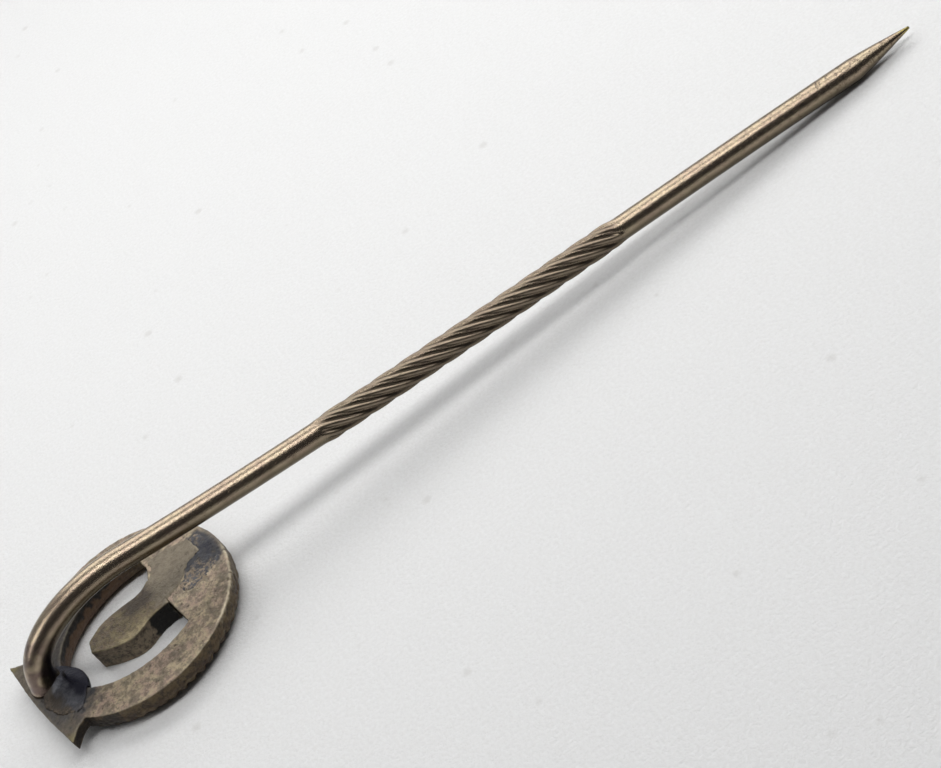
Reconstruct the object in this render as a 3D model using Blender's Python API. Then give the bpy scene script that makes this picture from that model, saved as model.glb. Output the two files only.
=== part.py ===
# A stick pin for a tie or lapel, lying face down: an openwork hoop with a fishtail
# foot, a soldered-in tongue, and one length of wire bent over from the foot into a
# long stem with a twisted grip and a filed point.
#
# Metres, +Z up. The origin is the hoop's centre on the plane it rests on. The stem
# runs along +X, the back of the head faces +Z, and the head's front faces -Z.

import bmesh
import bpy
from math import atan2, cos, hypot, pi, radians, sin
from mathutils import Matrix, Vector

mm = 0.001

# Hoop
hoop_radius = 5.5 * mm
hoop_thickness = 1.25 * mm
side_wall = 0.65 * mm             # straight wall below the back face, before the rounded front
round_share = 0.45                # most of the band's width that one rounded edge takes
flank_band = 2.1 * mm             # width of the ring at its two flanks
foot_band = 1.4 * mm              # width of the ring behind the foot
hole_half_length = 4.4 * mm       # of the ellipse that the hole's edge follows
bridge_near = 3.75 * mm           # rim to the hole's squared end, on the open side
bridge_far = 3.35 * mm            # the same, on the side under the stem
bridge_step = (radians(30), radians(42))   # where one depth changes to the other

# Foot: a plate with two pointed corners
foot_overhang = 0.47 * mm         # past the hoop's circle, at the middle
foot_half_width = 3.68 * mm
foot_bow = 0.17 * mm              # how far the end edge bulges between its corners
foot_neck_half_width = 2.85 * mm
foot_thickness = 0.6 * mm
foot_waist = 0.12 * mm            # how far its sides draw in between neck and corner
foot_seat = 0.2 * mm              # how far the plate reaches into the ring
foot_seat_draw = 0.3 * mm         # how much narrower each side is there

# Gadroons: lobes along the rounded outer edge, deepest at the flanks
gadroon_depth = 0.12 * mm
gadroon_pitch = 0.6 * mm
gadroons_each_side = 8            # of the flank's middle
gadroon_middle = radians(80)

# Tongue: a crescent inside the hoop, lapped into a recess in its back
tongue_length = 4.23 * mm         # from the hole's squared end to the tip
tongue_half_width = 1.2 * mm
tip_width = 0.73 * mm
tip_offset = 0.44 * mm
tip_slant = 0.26 * mm             # how much further back the tip's far corner is
# its two sides from the hole's end to the tip: shares of its length and half width
tongue_near_side = ((0, 1), (0.226, 0.917), (0.536, 1.05), (0.762, 0.65))
tongue_far_side = ((0, 0.917), (0.167, 0.717), (0.393, 0.867), (0.714, 0.95))

# Root of the tongue, on the bridge
lap_length = 2.75 * mm            # how far it reaches over the bridge
lap_depth = 0.5 * mm
root_overlap = 0.6 * mm           # how far it reaches back into the tongue
root_side = 0.5                   # shares of the tongue's half width: its far side there,
root_near = 0.79                  # its near side there,
root_end = (-0.042, 1)            # and the two sides of its far end
# its ragged sides between: shares of the lap's length and of the half width
root_near_side = ((0.073, -0.79), (0.45, -0.583), (0.65, -0.167))
root_bulge = (0.6, 1.54)
root_corner = (0.2 * mm, 2.1 * mm)      # past the hole's end on the far side
root_notch = (0.1 * mm, 1.45 * mm)

# Solder beside the root
solder_depth = 0.3 * mm
solder_rim = 0.35 * mm            # hoop left standing outside it
patch_start = 0.3                 # shares of the lap's length from the near end
patch_inside = 0.9
patch_width = 1.8 * mm            # towards the near side
patch_arc = (-0.28, 0.22)         # radians of the rim that it reaches
# its near side, and its two corners under the root: shares of patch_width from the near end
patch_near_side = ((0, -0.55), (0.2, -0.97), (0.78, -1))
patch_corner = (0.28, -0.3)
patch_step = -0.17

# Wire
wire_radius = 0.6 * mm
base_radius = 0.7 * mm            # the wire is left thicker at the foot
base_taper = 9 * mm               # length of wire in which it thins to wire_radius
base_inset = 0.51 * mm            # from the hoop's circle to the middle of the wire's base
stem_y = -0.12 * mm
crook_reach = 5.35 * mm           # half axes of the quarter ellipse that the crook follows
crook_rise = 3.25 * mm
crook_fall = 0.146                # slope at which the wire leaves the crook
shoulder_fall = 0.09              # slope at the point's shoulder
stem_length = 52.27 * mm          # from the base to the tip, along X
point_length = 3.5 * mm
point_radius = 0.07 * mm
point_lift = 0.3 * mm             # the tip is filed above the wire's own line
point_swell = 1.15                # 1 is a straight cone, and more keeps it fuller
grip_start = 17.2 * mm            # from the base, along X
grip_length = 17.7 * mm
grip_run_out = 0.9 * mm
grip_starts = 7                   # ridges round the wire
grip_lead = 9.8 * mm              # length in which a ridge goes once round, right-handed
grip_ridge = 0.045 * mm           # ridge height above the wire, and groove depth below it

# Solder round the wire's base
pool_length = 1.15 * mm           # half axes of the pool, seen from above
pool_width = 1.95 * mm
pool_height = 0.42 * mm
pool_sunk = 0.12 * mm             # how far its middle lies below the back face
pool_shift = (0.43 * mm, -1.25 * mm)    # of its middle from the wire's base
mound_reach = 0.82 * mm           # how far the solder bulges into the hole
mound_half_width = 1.3 * mm
mound_drop = 0.75 * mm            # how far it hangs below the back face
mound_shift = -1.45 * mm          # of its middle from the wire's base, across the hoop

head_turn = radians(10.5)         # the head sits turned on the wire
gap = 0.03 * mm                   # clearance between neighbouring solids

plain_step = radians(5)           # between the hoop's sections, where it has no gadroons
gadroon_sections = 4              # to each gadroon
section_steps = 4                 # segments in each rounded edge
wire_points = 28                  # points round the wire: four for each ridge
base_cut = 0.84                   # radians of the crook that the solder is cut to clear
base_cut_steps = 7
grip_step = 0.4 * mm

hole_half_width = hoop_radius - flank_band
hole_foot_end = -(hoop_radius - foot_band)
hole_middle = hole_foot_end + hole_half_length
near_end = hoop_radius - bridge_near
far_end = hoop_radius - bridge_far
base_x = base_inset - hoop_radius
shoulder_x = base_x + stem_length - point_length


def clear_scene():
    for item in list(bpy.data.objects):
        bpy.data.objects.remove(item, do_unlink=True)


def new_collection(name):
    collection = bpy.data.collections.new(name)
    bpy.context.scene.collection.children.link(collection)
    return collection


def new_material(name, colour, roughness, metallic):
    material = bpy.data.materials.new(name)
    material.use_nodes = True
    shader = material.node_tree.nodes["Principled BSDF"]
    shader.inputs["Base Color"].default_value = (*colour, 1)
    shader.inputs["Roughness"].default_value = roughness
    shader.inputs["Metallic"].default_value = metallic
    return material


def add_object(name, mesh, collection, parent=None, material=None):
    item = bpy.data.objects.new(name, mesh)
    collection.objects.link(item)
    item.parent = parent
    if material:
        mesh.materials.append(material)
        mesh.shade_smooth()
        mesh.set_sharp_from_angle(angle=radians(35))
    if collection is cutters:
        item.hide_render = True
        item.display_type = "WIRE"
    return item


def mesh_from(bm, name):
    mesh = bpy.data.meshes.new(name)
    bmesh.ops.recalc_face_normals(bm, faces=bm.faces)
    bm.to_mesh(mesh)
    bm.free()
    return mesh


def loft(name, rings, close_ends):
    # joins rings of equal length; the last ring meets the first where the ends stay open
    bm = bmesh.new()
    rows = [[bm.verts.new(point) for point in ring] for ring in rings]
    pairs = list(zip(rows, rows[1:]))
    if close_ends:
        bm.faces.new(rows[0])
        bm.faces.new(rows[-1])
    else:
        pairs.append((rows[-1], rows[0]))
    for row, following in pairs:
        count = len(row)
        for i in range(count):
            j = (i + 1) % count
            bm.faces.new((row[i], row[j], following[j], following[i]))
    return mesh_from(bm, name)


def plate(name, outline, low, high, grow=0.0):
    # a flat outline between two heights, grown all round; a point is (x, y, smooth)
    curve = bpy.data.curves.new(name, "CURVE")
    curve.dimensions = "2D"
    curve.fill_mode = "BOTH"
    curve.extrude = (high - low) / 2
    curve.offset = grow
    curve.resolution_u = 6
    spline = curve.splines.new("BEZIER")
    spline.bezier_points.add(len(outline) - 1)
    spline.use_cyclic_u = True
    for knot, (x, y, smooth) in zip(spline.bezier_points, outline):
        knot.co = (x, y, 0)
        knot.handle_left_type = knot.handle_right_type = "AUTO" if smooth else "VECTOR"
    guide = bpy.data.objects.new(name + "_outline", curve)
    cutters.objects.link(guide)
    bpy.context.view_layer.update()
    evaluated = guide.evaluated_get(bpy.context.evaluated_depsgraph_get())
    mesh = bpy.data.meshes.new_from_object(evaluated)
    bpy.data.objects.remove(guide, do_unlink=True)
    bm = bmesh.new()
    bm.from_mesh(mesh)
    bpy.data.meshes.remove(mesh)
    bmesh.ops.remove_doubles(bm, verts=bm.verts, dist=0.001 * mm)
    bmesh.ops.dissolve_limit(bm, angle_limit=radians(0.5), verts=bm.verts, edges=bm.edges)
    bmesh.ops.translate(bm, verts=bm.verts, vec=(0, 0, (high + low) / 2))
    return mesh_from(bm, name)


def ellipsoid(name, centre, half_axes):
    bm = bmesh.new()
    place = Matrix.Translation(centre) @ Matrix.Diagonal((*half_axes, 1))
    bmesh.ops.create_uvsphere(bm, u_segments=32, v_segments=16, radius=1, matrix=place)
    return mesh_from(bm, name)


def combine(item, operation, other):
    modifier = item.modifiers.new(other.name, "BOOLEAN")
    modifier.operation = operation
    modifier.object = other
    modifier.solver = "EXACT"


def hole_radius(angle, inset=0.0):
    # from the hoop's centre to the hole's edge, or to a line that runs inside that edge
    length = hole_half_length - inset
    width = hole_half_width - inset
    a = (cos(angle) / length) ** 2 + (sin(angle) / width) ** 2
    b = -2 * hole_middle * cos(angle) / length ** 2
    c = (hole_middle / length) ** 2 - 1
    radius = (-b + (b * b - 4 * a * c) ** 0.5) / (2 * a)
    if cos(angle) > 0:
        start, end = bridge_step
        share = min(max((angle - start) / (end - start), 0), 1)
        share = share * share * (3 - 2 * share)
        end_x = near_end + (far_end - near_end) * share
        radius = min(radius, (end_x - inset) / cos(angle))
    return radius


def gadroon_flank():
    # half the angle that a flank's gadroons take up
    return gadroons_each_side * gadroon_pitch / hoop_radius


def ring_angles():
    # four sections to each gadroon, even steps between, and the hole's two corners
    angles = []
    fine = gadroon_flank()
    runs = [(-gadroon_middle - fine, -gadroon_middle + fine, True),
            (-gadroon_middle + fine, gadroon_middle - fine, False),
            (gadroon_middle - fine, gadroon_middle + fine, True),
            (gadroon_middle + fine, 2 * pi - gadroon_middle - fine, False)]
    for start, end, lobed in runs:
        steps = 2 * gadroons_each_side * gadroon_sections if lobed else round((end - start) / plain_step)
        angles += [start + (end - start) * i / steps for i in range(steps)]
    for end_x, side in ((near_end, -1), (far_end, 1)):
        share = (end_x - hole_middle) / hole_half_length
        corner = atan2(side * hole_half_width * (1 - share * share) ** 0.5, end_x)
        nearest = min(range(len(angles)), key=lambda i: abs(angles[i] - corner))
        angles[nearest] = corner
    return angles


def gadroon_notch(angle):
    # how far the rounded edge is pressed in, between two lobes and on them
    turned = angle if angle < pi else angle - 2 * pi
    offset = abs(turned) - gadroon_middle
    if abs(offset) >= gadroon_flank():
        return 0.0
    lobe = abs(sin(pi * offset * hoop_radius / gadroon_pitch))
    return gadroon_depth * cos(offset / gadroon_flank() * pi / 2) * (1 - lobe)


def ring_section(angle):
    inner = hole_radius(angle)
    wall_foot = hoop_thickness - side_wall
    round_width = min(wall_foot, round_share * (hoop_radius - inner))
    notch = gadroon_notch(angle)
    section = [(inner, hoop_thickness), (hoop_radius, hoop_thickness)]
    for i in range(section_steps + 1):
        turn = pi / 2 * i / section_steps
        pressed = notch * sin(2 * turn)
        section.append((hoop_radius - round_width * (1 - cos(turn)) - pressed,
                        wall_foot * (1 - sin(turn)) + pressed))
    for i in range(section_steps + 1):
        turn = pi / 2 * (1 - i / section_steps)
        section.append((inner + round_width * (1 - cos(turn)), wall_foot * (1 - sin(turn))))
    return [(radius * cos(angle), radius * sin(angle), height) for radius, height in section]


def foot_outline():
    corner_x = -(hoop_radius + foot_overhang - foot_bow)
    neck_x = foot_seat - (hoop_radius ** 2 - foot_neck_half_width ** 2) ** 0.5
    waist = (corner_x + neck_x) / 2, (foot_half_width + foot_neck_half_width) / 2 - foot_waist
    seat_x = hole_foot_end - foot_seat
    side = [(corner_x, foot_half_width, False), (*waist, True), (neck_x, foot_neck_half_width, True),
            (seat_x, foot_neck_half_width - foot_seat_draw, False)]
    mirrored = [(x, -y, smooth) for x, y, smooth in reversed(side)]
    return side + mirrored + [(-(hoop_radius + foot_overhang), 0, True)]


def tongue_outline():
    end_x = near_end - gap
    tip_x = near_end - tongue_length
    near = [(end_x - along * tongue_length, -across * tongue_half_width, along > 0)
            for along, across in tongue_near_side]
    far = [(end_x - along * tongue_length, across * tongue_half_width, along > 0)
           for along, across in reversed(tongue_far_side)]
    tip = [(tip_x, tip_offset - tip_width / 2, False),
           (tip_x + tip_slant, tip_offset + tip_width / 2, False)]
    return near + tip + far


def root_outline():
    # the part of the tongue that laps over the bridge
    low = near_end - root_overlap
    end = near_end + lap_length
    near = [(near_end + along * lap_length, across * tongue_half_width, along > 0.1)
            for along, across in root_near_side]
    return [(low, -root_near * tongue_half_width, False)] + near + [
        (end, root_end[0] * tongue_half_width, False),
        (end, root_end[1] * tongue_half_width, False),
        (near_end + root_bulge[0] * lap_length, root_bulge[1] * tongue_half_width, True),
        (far_end + root_corner[0], root_corner[1], False),
        (far_end + root_notch[0], root_notch[1], True),
        (low, root_side * tongue_half_width, False),
    ]


def patch_outline():
    # solder beside the root, inside the rim; its side under the root is cut off later
    rim = hoop_radius - solder_rim
    left = near_end + patch_start * lap_length
    inside = near_end + patch_inside * lap_length
    low, high = patch_arc
    near = [(left + along * patch_width, across * patch_width, True) for along, across in patch_near_side]
    return near + [
        (rim * cos(low), rim * sin(low), False),
        (rim, 0, True),
        (rim * cos(high), rim * sin(high), False),
        (inside, rim * sin(high), False),
        (inside, patch_step * patch_width, False),
        (left + patch_corner[0] * patch_width, patch_corner[1] * patch_width, False),
    ]


def stem_height(x):
    # height of the wire's axis past the crook: a cubic between two points and two slopes
    start = crook_end()
    span = shoulder_x - start[0]
    u = (x - start[0]) / span
    return ((2 * u ** 3 - 3 * u ** 2 + 1) * start[1] + (u ** 3 - 2 * u ** 2 + u) * -crook_fall * span
            + (3 * u ** 2 - 2 * u ** 3) * wire_radius + (u ** 3 - u ** 2) * -shoulder_fall * span)


def crook_point(angle):
    return (base_x + crook_reach * (1 + cos(angle)),
            hoop_thickness + gap + crook_rise * sin(angle))


def crook_end_angle():
    return atan2(crook_rise, crook_fall * crook_reach)


def crook_end():
    return crook_point(crook_end_angle())


def grip_share(x):
    # 0 on plain wire, 1 in the twisted grip
    start = base_x + grip_start
    inside = min(x - start, start + grip_length - x) / grip_run_out
    share = min(max(inside, 0), 1)
    return share * share * (3 - 2 * share)


def wire_axis():
    # (x, z) along the wire's axis, from its base to the point's shoulder
    steps = 18
    bend = crook_end_angle() - pi
    axis = [crook_point(pi + bend * i / steps) for i in range(steps + 1)]
    grip_from = base_x + grip_start
    grip_to = grip_from + grip_length
    count = round(grip_length / grip_step)
    lead_in = crook_end()[0]
    places = [lead_in + (grip_from - lead_in) * i / 6 for i in range(1, 6)]
    places += [grip_from + grip_length * i / count for i in range(count + 1)]
    places += [grip_to + (shoulder_x - grip_to) * i / 4 for i in range(1, 5)]
    return axis + [(x, stem_height(x)) for x in places]


def wire_stations():
    # (x, z, radius) along the wire, from its base to the tip
    stations = []
    run = 0.0
    before = crook_point(pi)
    for x, z in wire_axis():
        run += hypot(x - before[0], z - before[1])
        before = (x, z)
        thicker = (base_radius - wire_radius) * max(1 - run / base_taper, 0)
        stations.append((x, z, wire_radius + thicker))
    tip_height = wire_radius + point_lift - shoulder_fall * point_length
    for share in (0.35, 0.7, 1):
        stations.append((shoulder_x + point_length * share,
                         wire_radius + (tip_height - wire_radius) * share,
                         wire_radius + (point_radius - wire_radius) * share ** point_swell))
    return stations


def wire_rings():
    stations = wire_stations()
    rings = []
    for i, (x, z, radius) in enumerate(stations):
        before = stations[max(i - 1, 0)]
        after = stations[min(i + 1, len(stations) - 1)]
        slope = atan2(after[1] - before[1], after[0] - before[0])
        if i == 0:
            slope = pi / 2
        share = grip_share(x)
        twist = 2 * pi * (x - base_x) / grip_lead
        ring = []
        for k in range(wire_points):
            angle = 2 * pi * k / wire_points
            reach = radius + share * grip_ridge * cos(grip_starts * (angle + twist))
            across, up = reach * sin(angle), reach * cos(angle)
            ring.append((x - sin(slope) * up, stem_y + across, z + cos(slope) * up))
        rings.append(ring)
    return rings


def wire_clearance():
    # the wire's base as a cutter: a little thicker, and run down through the solder
    low = crook_point(pi)
    rings = []
    turns = [base_cut * i / base_cut_steps for i in range(base_cut_steps + 1)]
    for x, z in [(low[0], 0.0)] + [crook_point(pi - turn) for turn in turns]:
        ring = []
        for k in range(wire_points):
            angle = 2 * pi * k / wire_points
            ring.append((x + (base_radius + gap) * cos(angle),
                         stem_y + (base_radius + gap) * sin(angle), z))
        rings.append(ring)
    return loft("wire_clearance", rings, True)


def hole_cutter_mesh():
    # the hole's outline with the clearance taken off, as a tall prism
    rings = []
    for height in (-1 * mm, 3 * mm):
        rings.append([(hole_radius(angle, gap) * cos(angle), hole_radius(angle, gap) * sin(angle),
                       height) for angle in ring_angles()])
    return loft("hole_prism", rings, True)


def build_hoop(head):
    silver = new_material("worn_silver_plate", (0.42, 0.34, 0.26), 0.5, 0.9)
    ring = add_object("hoop", loft("hoop", [ring_section(a) for a in ring_angles()], False),
                      stick_pin, head, silver)
    top = hoop_thickness
    foot = add_object("foot_plate", plate("foot_plate", foot_outline(), top - foot_thickness, top),
                      cutters, head)
    combine(ring, "UNION", foot)
    above = top + 1 * mm
    recess = add_object("root_recess", plate("root_recess", root_outline(), top - lap_depth, above, gap),
                        cutters, head)
    combine(ring, "DIFFERENCE", recess)
    pocket = add_object("patch_pocket", plate("patch_pocket", patch_outline(), top - solder_depth, above,
                                              gap), cutters, head)
    combine(ring, "DIFFERENCE", pocket)


def build_tongue(head):
    pale = new_material("pale_worn_brass", (0.55, 0.47, 0.35), 0.55, 0.85)
    top = hoop_thickness
    tongue = add_object("tongue", plate("tongue", tongue_outline(), 0, top), stick_pin, head, pale)
    root = add_object("tongue_root", plate("tongue_root", root_outline(), top - lap_depth + gap, top),
                      cutters, head)
    combine(tongue, "UNION", root)


def build_tongue_solder(head):
    grey = new_material("dark_solder", (0.11, 0.12, 0.13), 0.6, 0.7)
    top = hoop_thickness
    patch = add_object("tongue_solder", plate("tongue_solder", patch_outline(),
                                              top - solder_depth + gap, top), stick_pin, head, grey)
    space = add_object("root_space", plate("root_space", root_outline(), 0, top + 1 * mm, gap),
                       cutters, head)
    combine(patch, "DIFFERENCE", space)


def build_stem():
    nickel = new_material("aged_nickel_wire", (0.48, 0.42, 0.34), 0.35, 1)
    add_object("pin_stem", loft("pin_stem", wire_rings(), True), stick_pin, None, nickel)


def build_stem_solder(head):
    grey = new_material("dark_blue_solder", (0.1, 0.11, 0.13), 0.55, 0.7)
    top = hoop_thickness + gap
    base = Matrix.Rotation(-head_turn, 3, "Z") @ Vector((base_x, stem_y, 0))
    centre = (base.x + pool_shift[0], base.y + pool_shift[1], top - pool_sunk)
    pool = add_object("stem_solder", ellipsoid("stem_solder", centre,
                                               (pool_length, pool_width, pool_height)),
                      stick_pin, head, grey)
    bm = bmesh.new()
    bm.from_mesh(pool.data)
    cut = bmesh.ops.bisect_plane(bm, geom=bm.verts[:] + bm.edges[:] + bm.faces[:], plane_co=(0, 0, top),
                                 plane_no=(0, 0, -1), clear_outer=True)
    rim = [edge for edge in cut["geom_cut"] if isinstance(edge, bmesh.types.BMEdge)]
    bmesh.ops.holes_fill(bm, edges=rim, sides=0)
    bm.to_mesh(pool.data)
    bm.free()
    middle = (hole_foot_end, base.y + mound_shift, top)
    mound = add_object("mound", ellipsoid("mound", middle, (mound_reach, mound_half_width, mound_drop)),
                       cutters, head)
    prism = add_object("hole_prism", hole_cutter_mesh(), cutters, head)
    combine(mound, "INTERSECT", prism)
    combine(pool, "UNION", mound)
    wire = add_object("wire_clearance", wire_clearance(), cutters)
    combine(pool, "DIFFERENCE", wire)


clear_scene()
stick_pin = new_collection("stick_pin")
cutters = new_collection("cutters")
head = bpy.data.objects.new("head", None)
head.rotation_euler.z = head_turn
stick_pin.objects.link(head)

build_hoop(head)
build_tongue(head)
build_tongue_solder(head)
build_stem()
build_stem_solder(head)
bpy.context.view_layer.update()
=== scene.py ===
from math import atan2, cos, exp, hypot, pi, radians, sin

import bmesh
import bpy
import numpy as np
from mathutils import Matrix, Vector, noise


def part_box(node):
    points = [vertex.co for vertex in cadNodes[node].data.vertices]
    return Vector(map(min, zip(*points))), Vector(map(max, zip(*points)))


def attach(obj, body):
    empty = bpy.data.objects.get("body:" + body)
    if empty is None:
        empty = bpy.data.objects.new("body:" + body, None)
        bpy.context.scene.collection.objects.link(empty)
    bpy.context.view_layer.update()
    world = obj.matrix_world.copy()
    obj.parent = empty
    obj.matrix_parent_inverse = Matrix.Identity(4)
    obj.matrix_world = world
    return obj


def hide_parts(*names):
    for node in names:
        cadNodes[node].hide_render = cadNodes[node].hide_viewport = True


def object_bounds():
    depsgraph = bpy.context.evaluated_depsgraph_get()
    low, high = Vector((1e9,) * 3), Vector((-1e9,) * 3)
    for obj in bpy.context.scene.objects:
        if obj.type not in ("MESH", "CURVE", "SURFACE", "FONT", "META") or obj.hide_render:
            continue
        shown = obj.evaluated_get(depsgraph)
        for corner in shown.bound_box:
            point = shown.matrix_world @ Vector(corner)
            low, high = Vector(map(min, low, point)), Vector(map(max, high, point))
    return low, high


mm = 0.001

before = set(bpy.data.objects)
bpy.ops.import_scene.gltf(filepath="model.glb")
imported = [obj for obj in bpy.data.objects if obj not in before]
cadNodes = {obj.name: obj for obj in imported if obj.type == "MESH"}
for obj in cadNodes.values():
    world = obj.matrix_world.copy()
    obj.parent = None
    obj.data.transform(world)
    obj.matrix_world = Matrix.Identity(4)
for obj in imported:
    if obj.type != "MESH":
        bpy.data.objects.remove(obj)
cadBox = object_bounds()
scene = bpy.context.scene
lowCorner, highCorner = cadBox
_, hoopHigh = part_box("hoop")
hoopRadius = hoopHigh.y
backHeight = hoopHigh.z
headTurn = radians(10.5)    # the head sits turned on the wire
head = {
    "bridgeX": 1.75,              # where the hole ends and the tongue's root begins
    "footEndX": -4.1,             # the hole's other end
    "pool": (-4.4, -0.6),         # middle of the solder round the wire
    "patch": (4.65, -0.35),       # middle of the solder beside the root
}
print("frame loaded")


def clamp(value, low=0.0, high=1.0):
    return min(max(value, low), high)


def ease(value, low, high):
    # 0 below low, 1 above high, smooth between
    share = clamp((value - low) / (high - low))
    return share * share * (3 - 2 * share)


def wander(point, size, seed=0.0):
    # smooth noise from -1 to 1 with features of the given size
    return noise.noise(Vector(point) / size + Vector((seed, -seed, 2 * seed)))


def inHead(point):
    # a place in the head's own frame, in mm: x away from the foot, y to the far side
    turned = Matrix.Rotation(-headTurn, 3, "Z") @ Vector(point)
    return turned.x / mm, turned.y / mm, turned.z / mm


def newObject(name, mesh, material):
    item = bpy.data.objects.new(name, mesh)
    scene.collection.objects.link(item)
    if material:
        mesh.materials.clear()
        mesh.materials.append(material)
    return item


def addMask(mesh, name, values):
    # a number from 0 to 1 at each vertex, for the mesh's material
    layer = mesh.attributes.new(name, "FLOAT", "POINT")
    layer.data.foreach_set("value", np.asarray(values, np.float32))


def addMasks(mesh, **masks):
    for name, values in masks.items():
        addMask(mesh, name, values)


def fineCopy(nodeNames, grain, keepRootOnly=(), passes=1):
    # an even fine skin over copies of CAD pieces, made in mm because the remesh has a least size
    mergeWithin = 1e-7
    bm = bmesh.new()
    for nodeName in nodeNames:
        part = bmesh.new()
        part.from_mesh(cadNodes[nodeName].data)
        bmesh.ops.remove_doubles(part, verts=part.verts, dist=mergeWithin)
        if nodeName in keepRootOnly:
            outward = Matrix.Rotation(headTurn, 3, "Z") @ Vector((1, 0, 0))
            everything = part.verts[:] + part.edges[:] + part.faces[:]
            cut = bmesh.ops.bisect_plane(part, geom=everything, plane_co=outward * head["bridgeX"] * mm,
                                         plane_no=outward, clear_inner=True)
            rim = [item for item in cut["geom_cut"] if isinstance(item, bmesh.types.BMEdge)]
            bmesh.ops.holes_fill(part, edges=rim)
        whole = bpy.data.meshes.new("part")
        part.to_mesh(whole)
        part.free()
        bm.from_mesh(whole)
        bpy.data.meshes.remove(whole)
    bmesh.ops.scale(bm, verts=bm.verts, vec=(1 / mm,) * 3)
    mesh = bpy.data.meshes.new(nodeNames[0] + "Fine")
    bm.to_mesh(mesh)
    bm.free()
    coarse = newObject("coarse", mesh, None)
    skin = coarse.modifiers.new("skin", "REMESH")
    skin.mode = "VOXEL"
    skin.voxel_size = grain / mm
    bpy.context.view_layer.update()
    evaluated = coarse.evaluated_get(bpy.context.evaluated_depsgraph_get())
    fine = bpy.data.meshes.new_from_object(evaluated)
    bpy.data.objects.remove(coarse)
    bm = bmesh.new()
    bm.from_mesh(fine)
    for _ in range(passes):
        bmesh.ops.smooth_vert(bm, verts=bm.verts, factor=0.5,
                              use_axis_x=True, use_axis_y=True, use_axis_z=True)
    bmesh.ops.scale(bm, verts=bm.verts, vec=(mm,) * 3)
    bm.to_mesh(fine)
    bm.free()
    fine.shade_smooth()
    return fine


def shapeSkin(mesh, move):
    # shifts each vertex by move(place, normal)
    bm = bmesh.new()
    bm.from_mesh(mesh)
    bm.normal_update()
    shifts = [move(v.co, v.normal) for v in bm.verts]
    for vert, shift in zip(bm.verts, shifts):
        vert.co += shift
    bm.to_mesh(mesh)
    bm.free()


def level(normal):
    # the part of a normal that lies flat
    return Vector((normal.x, normal.y, 0))


def bendMasks(mesh, grain, passes=2, keep=0.4, gain=7):
    # "edge" is 1 on outward corners and "hollow" is 1 in inward ones
    count = len(mesh.vertices)
    places = np.empty(count * 3, np.float32)
    mesh.vertices.foreach_get("co", places)
    normals = np.empty(count * 3, np.float32)
    mesh.vertex_normals.foreach_get("vector", normals)
    ends = np.empty(len(mesh.edges) * 2, np.int32)
    mesh.edges.foreach_get("vertices", ends)
    places, normals, ends = places.reshape(-1, 3), normals.reshape(-1, 3), ends.reshape(-1, 2)
    neighbours = np.maximum(np.bincount(ends.ravel(), minlength=count), 1)

    def around(values):
        total = np.bincount(ends[:, 0], values[ends[:, 1]], count)
        return (total + np.bincount(ends[:, 1], values[ends[:, 0]], count)) / neighbours

    middle = np.stack([around(places[:, axis]) for axis in range(3)], 1)
    bend = ((places - middle) * normals).sum(1) / grain
    for _ in range(passes):
        bend = keep * bend + (1 - keep) * around(bend)
    addMask(mesh, "edge", np.clip(bend * gain, 0, 1))
    addMask(mesh, "hollow", np.clip(-bend * gain, 0, 1))


def addNode(tree, kind, inputs=None, **settings):
    made = tree.nodes.new("ShaderNode" + kind)
    for name, value in settings.items():
        setattr(made, name, value)
    for name, value in (inputs or {}).items():
        socket = made.inputs[name]
        if isinstance(value, bpy.types.NodeSocket):
            tree.links.new(value, socket)
        else:
            socket.default_value = value
    return made


def maths(tree, operation, first, second=0.0):
    return addNode(tree, "Math", {0: first, 1: second}, operation=operation, use_clamp=True).outputs[0]


def between(tree, value, low, high):
    # 0 at low, 1 at high
    return addNode(tree, "MapRange", {"Value": value, "From Min": low, "From Max": high},
                   interpolation_type="SMOOTHSTEP").outputs["Result"]


def blendColour(tree, share, first, second):
    made = addNode(tree, "Mix", {0: share, 6: first, 7: second}, data_type="RGBA")
    return made.outputs[2]


def objectPlace(tree, stretch=(1, 1, 1)):
    # object coordinates in mm
    where = addNode(tree, "TexCoord").outputs["Object"]
    scale = [s / mm for s in stretch]
    return addNode(tree, "Mapping", {"Vector": where, "Scale": scale}).outputs["Vector"]


def mask(tree, name):
    return addNode(tree, "Attribute", attribute_name=name, attribute_type="GEOMETRY").outputs["Fac"]


def newGroup(name, inputs, outputs):
    # an empty node group with named sockets: the group, its inputs inside and its outputs inside
    group = bpy.data.node_groups.new(name, "ShaderNodeTree")
    for label, kind, value in inputs:
        socket = group.interface.new_socket(label, in_out="INPUT", socket_type="NodeSocket" + kind)
        if value is not None:
            socket.default_value = value
    for label, kind in outputs:
        group.interface.new_socket(label, in_out="OUTPUT", socket_type="NodeSocket" + kind)
    return group, group.nodes.new("NodeGroupInput").outputs, group.nodes.new("NodeGroupOutput").inputs


def fillGroup(tree, group, inputs):
    made = tree.nodes.new("ShaderNodeGroup")
    made.node_tree = group
    for name, value in inputs.items():
        if isinstance(value, bpy.types.NodeSocket):
            tree.links.new(value, made.inputs[name])
        else:
            made.inputs[name].default_value = value
    return made.outputs


def perSize(tree, size):
    # a size in mm as a texture scale
    return addNode(tree, "Math", {0: 1.0, 1: size}, operation="DIVIDE").outputs[0]


patternLook = {
    "broadShare": 0.68, "fineShare": 0.32,          # how the clouds' two sizes mix
    "bendScale": 7.0, "bendReach": 0.16,            # how far specks are pushed out of round
    "speckGrowth": 0.9, "speckEdge": (-0.06, 0.1),
    "wearBreaks": (0.36, 0.64),                     # the noise that breaks up worn edges
}


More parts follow.
